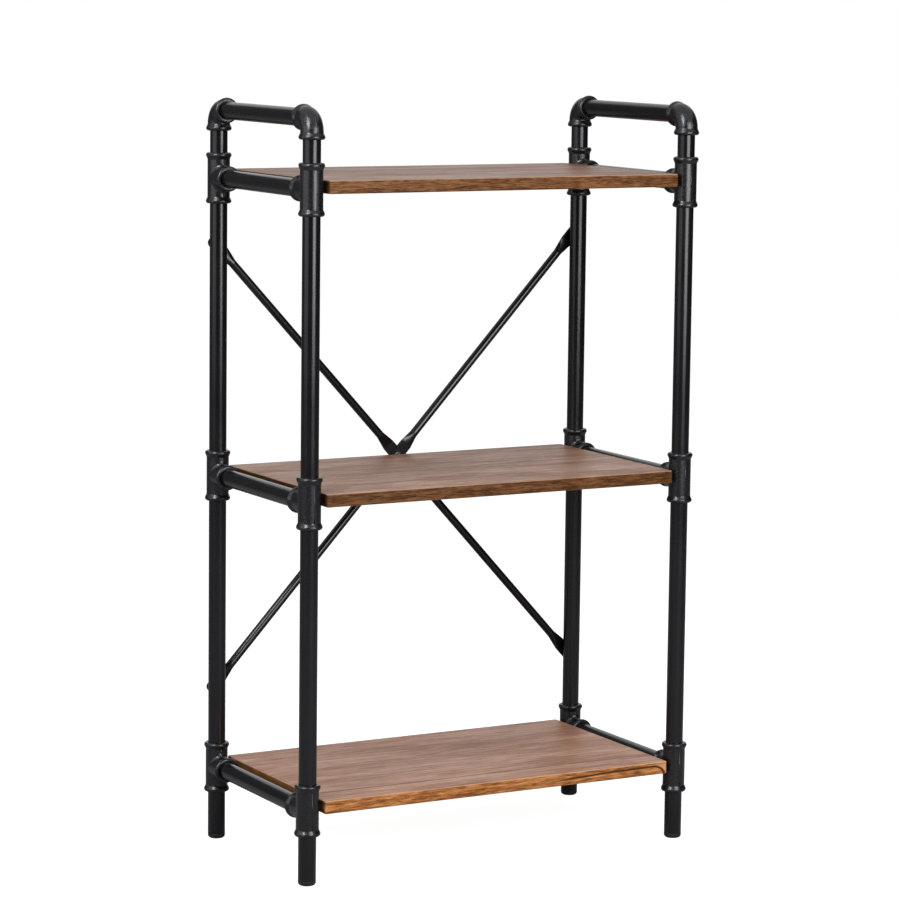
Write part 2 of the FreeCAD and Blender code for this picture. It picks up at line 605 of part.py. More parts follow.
def make_shelf_screws(tier):
    """Four pan-head screws, up through the tabs into the board.

    The origin is under the tabs, level with the front pair of screws.
    """
    y = f"{ROWS['front']} + sizes.tab_setback"
    z = f"{TIERS[tier]} + {SHELF_UNDERSIDE} - sizes.tab_thickness"
    body = new_piece(f"{tier}_shelf_screws", "0", y, z)
    body.AllowCompound = True
    x = f"({SCREW_REACH} - sizes.post_span_x / 2)"
    head = new_sketch(body, "XY_Plane")
    draw_circle(head, SCREW_HEAD_RADIUS, x)
    head_pad = add_pad(body, head, "sizes.screw_head_height", reverse=True)
    low = -sheet.screw_head_height
    rim = pick_edges(body, lambda edge: abs(edge.BoundBox.ZMax - low) < SAME)
    rounding = add_edge_feature(body, "Fillet", "Radius", "sizes.screw_head_round", rim)
    shank = new_sketch(body, "XY_Plane")
    draw_circle(shank, "sizes.screw_diameter / 2", x)
    shank_pad = add_pad(body, shank, "sizes.screw_length")
    tip = pick_edges(body, lambda edge: abs(edge.BoundBox.ZMin - sheet.screw_length) < SAME)
    base = body.Tip
    point = body.newObject("PartDesign::Chamfer", f"{body.Name}_point")
    point.Base = (base, tip)
    point.ChamferType = "Two distances"
    point.setExpression("Size", "sizes.screw_point")
    point.setExpression("Size2", "sizes.screw_diameter / 2 - sizes.pilot_play")
    features = [head_pad, rounding, shank_pad, point]
    long_side, short_side = "sizes.screw_slot_length / 2", "sizes.screw_slot_width / 2"
    for wide, tall in ((long_side, short_side), (short_side, long_side)):
        slot = new_sketch(body, "XY_Plane", "-sizes.screw_head_height")
        corners = box_corners(f"{x} - {wide}", f"{x} + {wide}", f"-{tall}", tall)
        draw_outline(slot, corners)
        features.append(add_pocket(body, slot, "sizes.screw_slot_depth", reverse=True))
    mirror_to_both_ends(body, features)


# ---------------------------------------------------------------- back braces


def brace_section(body, place, low, high):
    """The flattened tube's section, across the brace at place."""
    section = new_sketch(body, "YZ_Plane", place)
    half = "sizes.brace_flat_width / 2"
    draw_outline(section, box_corners(low, high, f"-{half}", half))
    return section


def round_section(body, place):
    """The round tube's section, across the brace at place."""
    section = new_sketch(body, "YZ_Plane", place)
    draw_circle(section, "sizes.brace_diameter / 2")
    return section


def add_taper(body, start, end):
    taper = body.newObject("PartDesign::AdditiveLoft", f"{body.Name}_taper")
    taper.Profile = start
    taper.Sections = [end]
    return taper


def make_brace(name, angle, low, high):
    """A tube flattened at its middle and ends, with its origin at the centre rivet.

    It runs along its own X axis. low and high are the faces of its middle flat, which
    lies to one side of the tube's centre so that the two braces cross without bending.
    """
    y = f"{MIDDLE_Y} + {BRACE_PLANE}"
    turn = FreeCAD.Rotation(Y_AXIS, 1)
    body = new_piece(name, "0", y, BRACE_MIDDLE_HEIGHT, turn)
    body.setExpression(".Placement.Rotation.Angle", angle)
    half_flat = f"{BRACE_FLAT} / 2"
    round_start = "(sizes.brace_centre_flat + sizes.brace_centre_taper)"
    end_flat = f"({BRACE_HALF} - sizes.brace_end_flat)"
    round_end = f"({end_flat} - sizes.brace_end_taper)"
    tip = f"({BRACE_HALF} + sizes.brace_end_margin)"

    middle = add_pad(body, brace_section(body, "0", low, high), "sizes.brace_centre_flat")
    first_flat = brace_section(body, "sizes.brace_centre_flat", low, high)
    first_taper = add_taper(body, first_flat, round_section(body, round_start))
    tube = round_section(body, round_start)
    draw_circle(tube, "sizes.brace_diameter / 2 - sizes.brace_wall")
    tube_pad = add_pad(body, tube, f"{round_end} - {round_start}")
    last_flat = brace_section(body, end_flat, f"-{half_flat}", half_flat)
    last_taper = add_taper(body, round_section(body, round_end), last_flat)
    end_section = brace_section(body, end_flat, f"-{half_flat}", half_flat)
    end = add_pad(body, end_section, f"{tip} - {end_flat}")
    far = body_end(body)
    corners = pick_edges(body, lambda e: e.BoundBox.YLength > NEAR and e.BoundBox.XMin > far - NEAR)
    rounding = add_edge_feature(body, "Fillet", "Radius", "sizes.brace_corner_radius", corners)
    bolt_hole = new_sketch(body, "XZ_Plane")
    draw_circle(bolt_hole, "sizes.bolt_diameter / 2 + sizes.bolt_play", BRACE_HALF)
    drilled = add_pocket(body, bolt_hole, "sizes.brace_flat_width", midplane=True)
    halves = [middle, first_taper, tube_pad, last_taper, end, rounding, drilled]
    add_pattern(body, "Mirrored", halves, {
        "MirrorPlane": (origin_feature(body, "YZ_Plane"), [""]),
    })
    rivet_hole = new_sketch(body, "XZ_Plane")
    draw_circle(rivet_hole, "sizes.rivet_diameter / 2 + sizes.rivet_play")
    add_pocket(body, rivet_hole, "sizes.brace_flat_width", midplane=True)


def make_centre_rivet():
    """The rivet that joins the two braces where they cross."""
    body = new_piece("brace_centre_rivet", "0", f"{MIDDLE_Y} + {BRACE_PLANE}", BRACE_MIDDLE_HEIGHT)
    shank, head = "sizes.rivet_diameter / 2", RIVET_HEAD_RADIUS
    outside = f"({BRACE_FLAT} + sizes.rivet_head_height)"
    half = new_sketch(body, "YZ_Plane")
    draw_outline(half, [
        (f"-{outside}", "0"), (f"-{outside}", head), (f"-{BRACE_FLAT}", head),
        (f"-{BRACE_FLAT}", shank), (BRACE_FLAT, shank), (BRACE_FLAT, head), (outside, head),
        (outside, "0"),
    ])
    add_turned(body, "Revolution", half, "H_Axis")
    rims = pick_rings(body, sheet.brace_flat_thickness + sheet.rivet_head_height, max)
    add_edge_feature(body, "Fillet", "Radius", "sizes.rivet_head_round", rims)


def add_to_four_corners(body, originals):
    """Repeats what stands at the lower left bolt, to the upper left and the right."""
    four = body.newObject("PartDesign::MultiTransform", f"{body.Name}_four")
    four.Originals = originals
    body.Tip = four
    steps = (("Z_Axis", BRACE_RISE), ("X_Axis", "sizes.post_span_x"))
    patterns = []
    for axis, step in steps:
        pattern = body.newObject("PartDesign::LinearPattern", f"{body.Name}_{axis}")
        pattern.Direction = (origin_feature(body, axis), [""])
        pattern.Occurrences = 2
        pattern.setExpression("Length", step)
        patterns.append(pattern)
    four.Transformations = patterns
    body.Tip = four


def make_brace_bolts():
    """Button-head bolts through the brace ends, with their origin behind the lower left post.

    Each bolt points to the front, and its head bears on the back of the brace.
    """
    y = f"{MIDDLE_Y} + {BRACE_PLANE} + {BRACE_FLAT} / 2"
    body = new_piece("brace_end_bolts", SIDES["left"], y, LOWER_BOLT_HEIGHT)
    body.AllowCompound = True
    shank, head = "sizes.bolt_diameter / 2", BOLT_HEAD_RADIUS
    half = new_sketch(body, "YZ_Plane")
    draw_outline(half, [
        ("-sizes.bolt_length", "0"), ("-sizes.bolt_length", shank), ("0", shank), ("0", head),
        ("sizes.bolt_head_height", head), ("sizes.bolt_head_height", "0"),
    ])
    turned = add_turned(body, "Revolution", half, "H_Axis")
    rim = pick_rings(body, sheet.bolt_head_height, max)
    rounding = add_edge_feature(body, "Fillet", "Radius", "sizes.bolt_head_round", rim)
    key = new_sketch(body, "XZ_Plane", "-sizes.bolt_head_height")
    corner_radius = "sizes.bolt_key_width / sqrt(3)"
    turns = [f"{60 * number} deg" for number in range(6)]
    corners = [(f"{corner_radius} * cos({t})", f"{corner_radius} * sin({t})") for t in turns]
    draw_outline(key, corners)
    socket = add_pocket(body, key, "sizes.bolt_key_depth", reverse=True)
    add_to_four_corners(body, [turned, rounding, socket])


def make_rivet_nuts():
    """Threaded sleeves set in the rear posts' walls, flush with the back of each post."""
    y = f"{ROWS['rear']} + sizes.tube_diameter / 2"
    body = new_piece("brace_rivet_nuts", SIDES["left"], y, LOWER_BOLT_HEIGHT)
    body.AllowCompound = True
    bore, sleeve = "sizes.bolt_diameter / 2", RIVET_NUT_RADIUS
    collar = f"({RIVET_NUT_RADIUS} + sizes.rivet_nut_collar)"
    wall_there = f"sqrt(pow({TUBE_RADIUS} - sizes.tube_wall; 2) - pow({collar}; 2))"
    behind = f"({TUBE_RADIUS} - {wall_there})"
    collar_end = f"({behind} + sizes.rivet_nut_collar_width)"
    half = new_sketch(body, "YZ_Plane")
    draw_outline(half, [
        ("-sizes.rivet_nut_length", bore), ("0", bore), ("0", sleeve), (f"-{behind}", sleeve),
        (f"-{behind}", collar), (f"-{collar_end}", collar), (f"-{collar_end}", sleeve),
        ("-sizes.rivet_nut_length", sleeve),
    ])
    turned = add_turned(body, "Revolution", half, "H_Axis")
    add_to_four_corners(body, [turned])


# ---------------------------------------------------------------- the whole unit

for side in SIDES:
    make_rails(side)
    for row in ROWS:
        make_post(side, row)
        make_foot_cap(side, row)
        make_elbow(side, row)
        for tier in TIERS:
            make_tee(side, row, tier)

for tier in TIERS:
    make_shelf(tier)
    make_support_tabs(tier)
    make_shelf_screws(tier)

make_brace("falling_back_brace", BRACE_SLOPE, "0", BRACE_FLAT)
make_brace("rising_back_brace", f"-{BRACE_SLOPE}", f"-{BRACE_FLAT}", "0")
make_centre_rivet()
make_brace_bolts()
make_rivet_nuts()
doc.recompute()

for item in doc.Objects:
    if "Invalid" in item.State or "Error" in item.State:
        raise RuntimeError(f"{item.Name} did not build: {item.State}")

os.makedirs("parts", exist_ok=True)
for piece in pieces:
    if piece.Shape.isNull() or not piece.Shape.isValid():
        raise RuntimeError(f"{piece.Label} has no valid shape")
    piece.Shape.exportStep(f"parts/{piece.Label}.step")
print(f"{len(pieces)} sub-parts written")
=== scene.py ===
import json
import math

import bmesh
import bpy
from mathutils import Matrix, Vector


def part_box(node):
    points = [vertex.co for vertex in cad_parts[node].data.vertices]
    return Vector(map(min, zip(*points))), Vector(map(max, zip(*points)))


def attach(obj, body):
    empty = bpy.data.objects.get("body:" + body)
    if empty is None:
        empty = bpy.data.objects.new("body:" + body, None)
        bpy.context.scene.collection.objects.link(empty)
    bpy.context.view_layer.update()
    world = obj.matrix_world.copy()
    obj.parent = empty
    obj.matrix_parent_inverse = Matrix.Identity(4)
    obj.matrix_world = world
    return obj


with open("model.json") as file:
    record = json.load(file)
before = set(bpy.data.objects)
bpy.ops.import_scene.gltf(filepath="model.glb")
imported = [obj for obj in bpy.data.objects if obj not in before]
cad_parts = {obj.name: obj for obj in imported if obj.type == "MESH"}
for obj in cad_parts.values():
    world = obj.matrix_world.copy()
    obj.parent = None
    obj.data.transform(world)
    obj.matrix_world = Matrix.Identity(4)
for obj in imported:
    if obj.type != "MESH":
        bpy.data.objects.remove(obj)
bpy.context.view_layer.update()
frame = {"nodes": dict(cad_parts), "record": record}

# The looks of a three-tier shelving unit of black pipe and brown boards. Metres, in the
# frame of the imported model: +X to the right, +Y to the rear, +Z up, the floor at zero.

SIDES = ("left", "right")
ROWS = ("front", "rear")
TIERS = ("bottom", "middle", "top")


# ---------------------------------------------------------------- node trees

WHITE = (1.0, 1.0, 1.0, 1.0)
# Noise runs from 0 to 1, about the middle one of these. Most of it lies between the others.
NOISE_LOW = 0.3
NOISE_MIDDLE = 0.5
NOISE_HIGH = 0.7
# Where the mix node keeps its factor, A and B, for numbers and for colours.
NUMBER_MIX_INPUTS = (0, 2, 3)
COLOUR_MIX_INPUTS = (0, 6, 7)
COLOUR_MIX_OUTPUT = 2


class Shader:
    """A material whose nodes are added one at a time. Each step gives back a socket."""

    def __init__(self, name):
        self.material = bpy.data.materials.new(name)
        self.material.use_nodes = True
        self.tree = self.material.node_tree
        self.surface = self.tree.nodes["Principled BSDF"]

    def feed(self, socket, value):
        """Links value to the socket if it is a socket itself, and sets it if not."""
        if isinstance(value, bpy.types.NodeSocket):
            self.tree.links.new(value, socket)
        else:
            socket.default_value = value

    def node(self, kind, **settings):
        made = self.tree.nodes.new(kind)
        for name, value in settings.items():
            setattr(made, name, value)
        return made

    def math(self, operation, *values, clamp=False):
        made = self.node("ShaderNodeMath", operation=operation, use_clamp=clamp)
        for socket, value in zip(made.inputs, values):
            self.feed(socket, value)
        return made.outputs[0]

    def blend(self, factor, first, second):
        """Number first where factor is 0 and second where it is 1."""
        made = self.node("ShaderNodeMix", data_type="FLOAT")
        for index, value in zip(NUMBER_MIX_INPUTS, (factor, first, second)):
            self.feed(made.inputs[index], value)
        return made.outputs[0]

    def tint(self, factor, first, second, mode="MIX"):
        """Colour first where factor is 0 and second where it is 1."""
        made = self.node("ShaderNodeMix", data_type="RGBA", blend_type=mode)
        for index, value in zip(COLOUR_MIX_INPUTS, (factor, first, second)):
            self.feed(made.inputs[index], value)
        return made.outputs[COLOUR_MIX_OUTPUT]

    def place(self):
        """The point's place in the unit's frame, as three sockets."""
        where = self.node("ShaderNodeTexCoord").outputs["Object"]
        made = self.node("ShaderNodeSeparateXYZ")
        self.feed(made.inputs[0], where)
        return made.outputs

    def vector(self, x, y, z):
        made = self.node("ShaderNodeCombineXYZ")
        for socket, value in zip(made.inputs, (x, y, z)):
            self.feed(socket, value)
        return made.outputs[0]

    def noise(self, vector, scale, detail=2.0, roughness=0.5):
        """Noise from 0 to 1, around 0.5, with about scale features a metre."""
        made = self.node("ShaderNodeTexNoise")
        self.feed(made.inputs["Vector"], vector)
        made.inputs["Scale"].default_value = scale
        made.inputs["Detail"].default_value = detail
        made.inputs["Roughness"].default_value = roughness
        return made.outputs["Fac"]

    def fit(self, value, low, high, to_low=0.0, to_high=1.0, smooth=False):
        """value from low..high to to_low..to_high, held at the ends."""
        made = self.node("ShaderNodeMapRange")
        made.interpolation_type = "SMOOTHSTEP" if smooth else "LINEAR"
        self.feed(made.inputs["Value"], value)
        made.inputs["From Min"].default_value = low
        made.inputs["From Max"].default_value = high
        made.inputs["To Min"].default_value = to_low
        made.inputs["To Max"].default_value = to_high
        return made.outputs["Result"]

    def vary(self, noise, to_low, to_high):
        """A number that follows noise from to_low to to_high."""
        return self.fit(noise, NOISE_LOW, NOISE_HIGH, to_low, to_high)

    def centred(self, noise):
        """noise, moved down to run evenly about zero."""
        return self.math("SUBTRACT", noise, NOISE_MIDDLE)

    def ramp(self, value, stops):
        """A colour for value, from (position, colour) stops."""
        made = self.node("ShaderNodeValToRGB")
        self.feed(made.inputs["Fac"], value)
        elements = made.color_ramp.elements
        while len(elements) < len(stops):
            elements.new(0.5)
        for element, (position, colour) in zip(elements, stops):
            element.position = position
            element.color = (*colour, 1.0)
        return made.outputs["Color"]

    def shades(self, noise, dark, light):
        """A colour that follows noise from dark to light."""
        return self.ramp(noise, [(NOISE_LOW, dark), (NOISE_HIGH, light)])

    def bump(self, height, distance):
        """A normal for height, in metres of distance for a height of 1."""
        made = self.node("ShaderNodeBump")
        made.inputs["Distance"].default_value = distance
        made.inputs["Strength"].default_value = 1.0
        self.feed(made.inputs["Height"], height)
        return made.outputs["Normal"]


def make_matt_paint(name, shade):
    """A grey that mirrors nothing."""
    paint = Shader(name)
    paint.surface.inputs["Base Color"].default_value = (shade, shade, shade, 1.0)
    paint.surface.inputs["Roughness"].default_value = 1.0
    paint.surface.inputs["Specular IOR Level"].default_value = 0.0
    return paint


# ---------------------------------------------------------------- camera, light and floor

CAMERA_PLACE = (-2.3419, -4.2133, 1.2331)
CAMERA_YAW = -0.5073
CAMERA_PITCH = -0.1203
CAMERA_ROLL = 0.0119
CAMERA_REACH = 50
SENSOR_WIDTH = 36.0
FOCAL_LENGTH = 134.7
VERTICAL_SHIFT = -0.06


def make_camera():
    """A long lens, left of the unit's front and a little above its top."""
    data = bpy.data.cameras.new("camera")
    data.sensor_width = SENSOR_WIDTH
    data.lens = FOCAL_LENGTH
    data.shift_y = VERTICAL_SHIFT
    data.clip_end = CAMERA_REACH
    camera = bpy.data.objects.new("camera", data)
    level = Matrix.Rotation(CAMERA_YAW, 4, "Z") @ Matrix.Rotation(math.pi / 2, 4, "X")
    tilt = Matrix.Rotation(CAMERA_PITCH, 4, "X") @ Matrix.Rotation(CAMERA_ROLL, 4, "Z")
    camera.matrix_world = Matrix.Translation(CAMERA_PLACE) @ level @ tilt
    bpy.context.scene.collection.objects.link(camera)
    bpy.context.scene.camera = camera


PLAIN_LIGHT = (1.0, 1.0, 1.0)
COOL_LIGHT = (0.92, 0.94, 1.0)


def make_softbox(name, place, target, width, height, power, colour=PLAIN_LIGHT):
    """A rectangular lamp at place that faces target. Its power is in watts."""
    data = bpy.data.lights.new(name, "AREA")
    data.shape = "RECTANGLE"
    data.size = width
    data.size_y = height
    data.energy = power
    data.color = colour
    lamp = bpy.data.objects.new(name, data)
    lamp.location = place
    lamp.rotation_euler = (Vector(target) - Vector(place)).to_track_quat("-Z", "Y").to_euler()
    bpy.context.scene.collection.objects.link(lamp)
    return lamp


def make_lights():
    """A key light in front, lamps on the left and a soft light overhead."""
    make_softbox(
        "key_light", place=(0.25, -2.3, 1.16), target=(0, 0, 0.8),
        width=1.4, height=1.3, power=62,
    )
    make_softbox(
        "left_light", place=(-2.8, -0.2, 1.0), target=(0, 0, 0.9),
        width=2.4, height=1.1, power=13,
    )
    make_softbox(
        "fill_light", place=(-2.9, -1.55, 2.35), target=(0, 0, 1.0),
        width=0.9, height=1.6, power=84, colour=COOL_LIGHT,
    )
    shine = make_softbox(
        "shine_light", place=(-2.5, -1.2, 3.0), target=(0, 0, 1.1),
        width=1.3, height=1.8, power=85, colour=COOL_LIGHT,
    )
    top = make_softbox(
        "top_light", place=(0.1, -0.5, 3.0), target=(0, 0, 0.6),
        width=2.5, height=2.5, power=34,
    )
    # The shine light is only mirrored, and draws the streaks down the elbows. The top light
    # isn't mirrored, which leaves their crowns dark.
    shine.visible_diffuse = False
    top.visible_glossy = False


# Cards that stand round the studio. Each spans these degrees, from the front round to the
# right, and has this shade of grey.
FLAGS = {
    "camera_flag": {"start": -62, "end": -10, "shade": 0.02},
    "right_flag": {"start": 24, "end": 118, "shade": 0.02},
    "back_flag": {"start": 182, "end": 228, "shade": 0.35},
}
FLAG_DISTANCE = 6.0
FLAG_HEIGHT = 5.0
FLAG_STEP = 2


def make_flag(name, start, end, shade):
    """A curved card, seen only in reflections, that keeps the tubes' sides dark."""
    corners = []
    for angle in range(start, end + 1, FLAG_STEP):
        x = FLAG_DISTANCE * math.sin(math.radians(angle))
        y = -FLAG_DISTANCE * math.cos(math.radians(angle))
        corners += [(x, y, 0.0), (x, y, FLAG_HEIGHT)]
    faces = [(n, n + 2, n + 3, n + 1) for n in range(0, len(corners) - 2, 2)]
    mesh = bpy.data.meshes.new(name)
    mesh.from_pydata(corners, [], faces)
    mesh.materials.append(make_matt_paint(f"{name}_paint", shade).material)
    flag = bpy.data.objects.new(name, mesh)
    flag.visible_camera = False
    flag.visible_diffuse = False
    flag.visible_shadow = False
    flag.visible_transmission = False
    bpy.context.scene.collection.objects.link(flag)


WORLD_LEVEL = 0.3
FLOOR_SIZE = 60.0
FLOOR_SHADE = 0.35
# What makes the floor white to the camera, and paler in reflections.
FLOOR_LIFT = 0.91
MIRRORED_LIFT = 0.05
MIRROR_RAYS = ("Is Glossy Ray", "Is Transmission Ray")


def make_world():
    """White where it is looked at, mirrored or seen through, and a soft grey elsewhere."""
    world = bpy.data.worlds.new("studio")
    bpy.context.scene.world = world
    world.use_nodes = True
    nodes, links = world.node_tree.nodes, world.node_tree.links
    background = nodes["Background"]
    background.inputs["Color"].default_value = WHITE
    rays = nodes.new("ShaderNodeLightPath")
    seen = rays.outputs["Is Camera Ray"]
    for kind in MIRROR_RAYS:
        either = nodes.new("ShaderNodeMath")
        either.operation = "MAXIMUM"
        links.new(seen, either.inputs[0])
        links.new(rays.outputs[kind], either.inputs[1])
        seen = either.outputs[0]
    strength = nodes.new("ShaderNodeMapRange")
    strength.inputs["To Min"].default_value = WORLD_LEVEL
    strength.inputs["To Max"].default_value = 1.0
    links.new(seen, strength.inputs["Value"])
    links.new(strength.outputs["Result"], background.inputs["Strength"])


def make_floor():
    """A pale floor that takes the unit's shadow."""
    mesh = bpy.data.meshes.new("floor")
    half = FLOOR_SIZE / 2
    corners = [(-half, -half, 0), (half, -half, 0), (half, half, 0), (-half, half, 0)]
    mesh.from_pydata(corners, [], [(0, 1, 2, 3)])
    floor = bpy.data.objects.new("floor", mesh)
    bpy.context.scene.collection.objects.link(floor)
    paint = make_matt_paint("floor_paint", FLOOR_SHADE)
    rays = paint.node("ShaderNodeLightPath").outputs
    lift = paint.math("MULTIPLY", rays["Is Camera Ray"], FLOOR_LIFT)
    for kind in MIRROR_RAYS:
        lift = paint.math("MULTIPLY_ADD", rays[kind], MIRRORED_LIFT, lift)
    paint.surface.inputs["Emission Color"].default_value = WHITE
    paint.feed(paint.surface.inputs["Emission Strength"], lift)
    mesh.materials.append(paint.material)


# ---------------------------------------------------------------- coats


def make_tube_coat():
    """Satin black powder coat on smooth tube, with a faint orange peel."""
    paint = Shader("tube_coat")
    where = paint.vector(*paint.place())
    patches = paint.noise(where, scale=14, detail=3)
    peel = paint.noise(where, scale=620)
    colour = paint.shades(patches, dark=(0.003, 0.003, 0.004), light=(0.004, 0.004, 0.005))
    paint.feed(paint.surface.inputs["Base Color"], colour)
    paint.surface.inputs["Specular IOR Level"].default_value = 0.3
    paint.feed(paint.surface.inputs["Roughness"], paint.vary(patches, 0.19, 0.24))
    paint.feed(paint.surface.inputs["Normal"], paint.bump(peel, distance=0.00003))
    return paint.material


def make_fitting_coat():
    """The same coat over a cast surface: grainier, with small pits."""
    paint = Shader("fitting_coat")
    where = paint.vector(*paint.place())
    patches = paint.noise(where, scale=22, detail=3)
    grain = paint.noise(where, scale=560, detail=3, roughness=0.6)
    pits = paint.fit(paint.noise(where, scale=1100), low=0.62, high=0.72)
    colour = paint.shades(patches, dark=(0.003, 0.003, 0.004), light=(0.005, 0.005, 0.006))
    paint.feed(paint.surface.inputs["Base Color"], colour)
    paint.surface.inputs["Specular IOR Level"].default_value = 0.36
    paint.feed(paint.surface.inputs["Roughness"], paint.vary(grain, 0.22, 0.29))
    height = paint.math("SUBTRACT", grain, pits)
    paint.feed(paint.surface.inputs["Normal"], paint.bump(height, distance=0.00011))
    return paint.material


def make_foot_plastic():
    """Black moulded plastic, duller than the coat."""
    paint = Shader("foot_plastic")
    grain = paint.noise(paint.vector(*paint.place()), scale=1100)
    colour = paint.shades(grain, dark=(0.006, 0.006, 0.007), light=(0.009, 0.009, 0.010))
    paint.feed(paint.surface.inputs["Base Color"], colour)
    paint.surface.inputs["Specular IOR Level"].default_value = 0.25
    paint.feed(paint.surface.inputs["Roughness"], paint.vary(grain, 0.46, 0.56))
    paint.feed(paint.surface.inputs["Normal"], paint.bump(grain, distance=0.00004))
    return paint.material


def make_fastener_steel(name, dark, light, metallic, smoothest, roughest):
    """Coated or plated steel, with a fine even grain."""
    paint = Shader(name)
    grain = paint.noise(paint.vector(*paint.place()), scale=1500, detail=3)
    paint.feed(paint.surface.inputs["Base Color"], paint.shades(grain, dark, light))
    paint.surface.inputs["Metallic"].default_value = metallic
    paint.feed(paint.surface.inputs["Roughness"], paint.vary(grain, smoothest, roughest))
    paint.feed(paint.surface.inputs["Normal"], paint.bump(grain, distance=0.00003))
    return paint.material


# ---------------------------------------------------------------- boards

TOP_TONES = [
    (0.30, (0.145, 0.052, 0.021)),
    (0.45, (0.222, 0.094, 0.045)),
    (0.58, (0.288, 0.144, 0.081)),
    (0.75, (0.376, 0.210, 0.132)),
]
EDGE_TONES = [
    (0.28, (0.110, 0.037, 0.009)),
    (0.42, (0.240, 0.086, 0.023)),
    (0.55, (0.370, 0.145, 0.045)),
    (0.72, (0.500, 0.225, 0.085)),
]
CRACK_TONE = (0.050, 0.018, 0.006, 1.0)
PALE_TONE = (0.520, 0.300, 0.170, 1.0)
# The rounded upper edge is tinted paler toward this tone by this share: a painted highlight,
# together with paler worn print.
ARRIS_HIGHLIGHT_AND_WEAR_TONE = (0.620, 0.430, 0.320, 1.0)
ARRIS_HIGHLIGHT_AND_WEAR = 0.30
# Painted shade: the boards' end faces, which sit in shadow beside the rails, are darkened toward
# this tone by this share.
END_PAINTED_SHADE_TONE = (0.030, 0.013, 0.005, 1.0)
END_PAINTED_SHADE = 0.6

# How far a normal points up or sideways, from 0 to 1, where a face starts to count as flat or
# as an end, and where it counts in full. The arris's painted highlight and worn print set in
# over its own pair, and fade out again over the last.
FLAT_LEAN = (0.5, 0.9)
END_LEAN = (0.75, 0.95)
ARRIS_LEAN = (0.25, 0.5)
ARRIS_FADE = (0.90, 0.98)
# The arris's painted highlight and worn print are weakest where its noise is under the first, and
# strongest over the second.
ARRIS_HIGHLIGHT_AND_WEAR_NOISE = (0.3, 0.6)
LEAST_ARRIS_HIGHLIGHT_AND_WEAR = 0.3

# How much of the grain is coarse, middling and fine.
TOP_SHARES = (0.34, 0.42, 0.24)
EDGE_SHARES = (0.12, 0.32, 0.56)
# How strong the finer detail in the grain's noise is, from 0 to 1.
GRAIN_ROUGHNESS = 0.6
# How far the grain sways to the side while its noise goes from 0 to 1.
GRAIN_SWAY = 0.012
GRAIN_CONTRAST = 2.4
GRAIN_HEIGHT = 0.00010
CLOUDING = 0.35
EDGE_SHEEN = 0.08
# The coat's roughness over dark grain, and over pale grain.
DULLEST = 0.52
GLOSSIEST = 0.42

# There is no fleck where its noise is under the first, and a whole one over the second.
FLECK_NOISE = (0.58, 0.68)
# How dark ticks and checks are on the edge, and on the top.
TICK_DEPTHS = (0.65, 0.35)
CHECK_DEPTHS = (0.6, 0.4)

# Half the width of a seam's dark core, and of the whole seam.
SEAM_CORE = 0.0012
SEAM_EDGE = 0.0034
# A seam is broken where its noise is under the first, and whole over the second.
SEAM_NOISE = (0.30, 0.44)

# The crack along the bottom board's edge fades in to the right of the middle, climbs to a
# crest near the board's end, and then turns down.
CRACK_START = 0.05
CRACK_IN_FULL = 0.12
CRACK_CREST_MARGIN = 0.0246
CRACK_CREST_HEIGHT = 0.0126
# Back from the crest, it drops by this times the distance squared.
CRACK_BOW = 0.184
# How far beyond its crest it reaches the board's underside.
CRACK_RUNOUT = 0.019
# Half the width of its dark core, and of the whole crack.
CRACK_CORE = 0.0008
CRACK_EDGE = 0.0020
# The wood outside the crack's turn is paler. That begins this far from the crack's line, is
# in full this far from it, and grows until this far from the board's end.
BLOCK_START = 0.0010
BLOCK_IN_FULL = 0.0025
BLOCK_MARGIN = 0.0142
BLOCK_PALENESS = 0.5


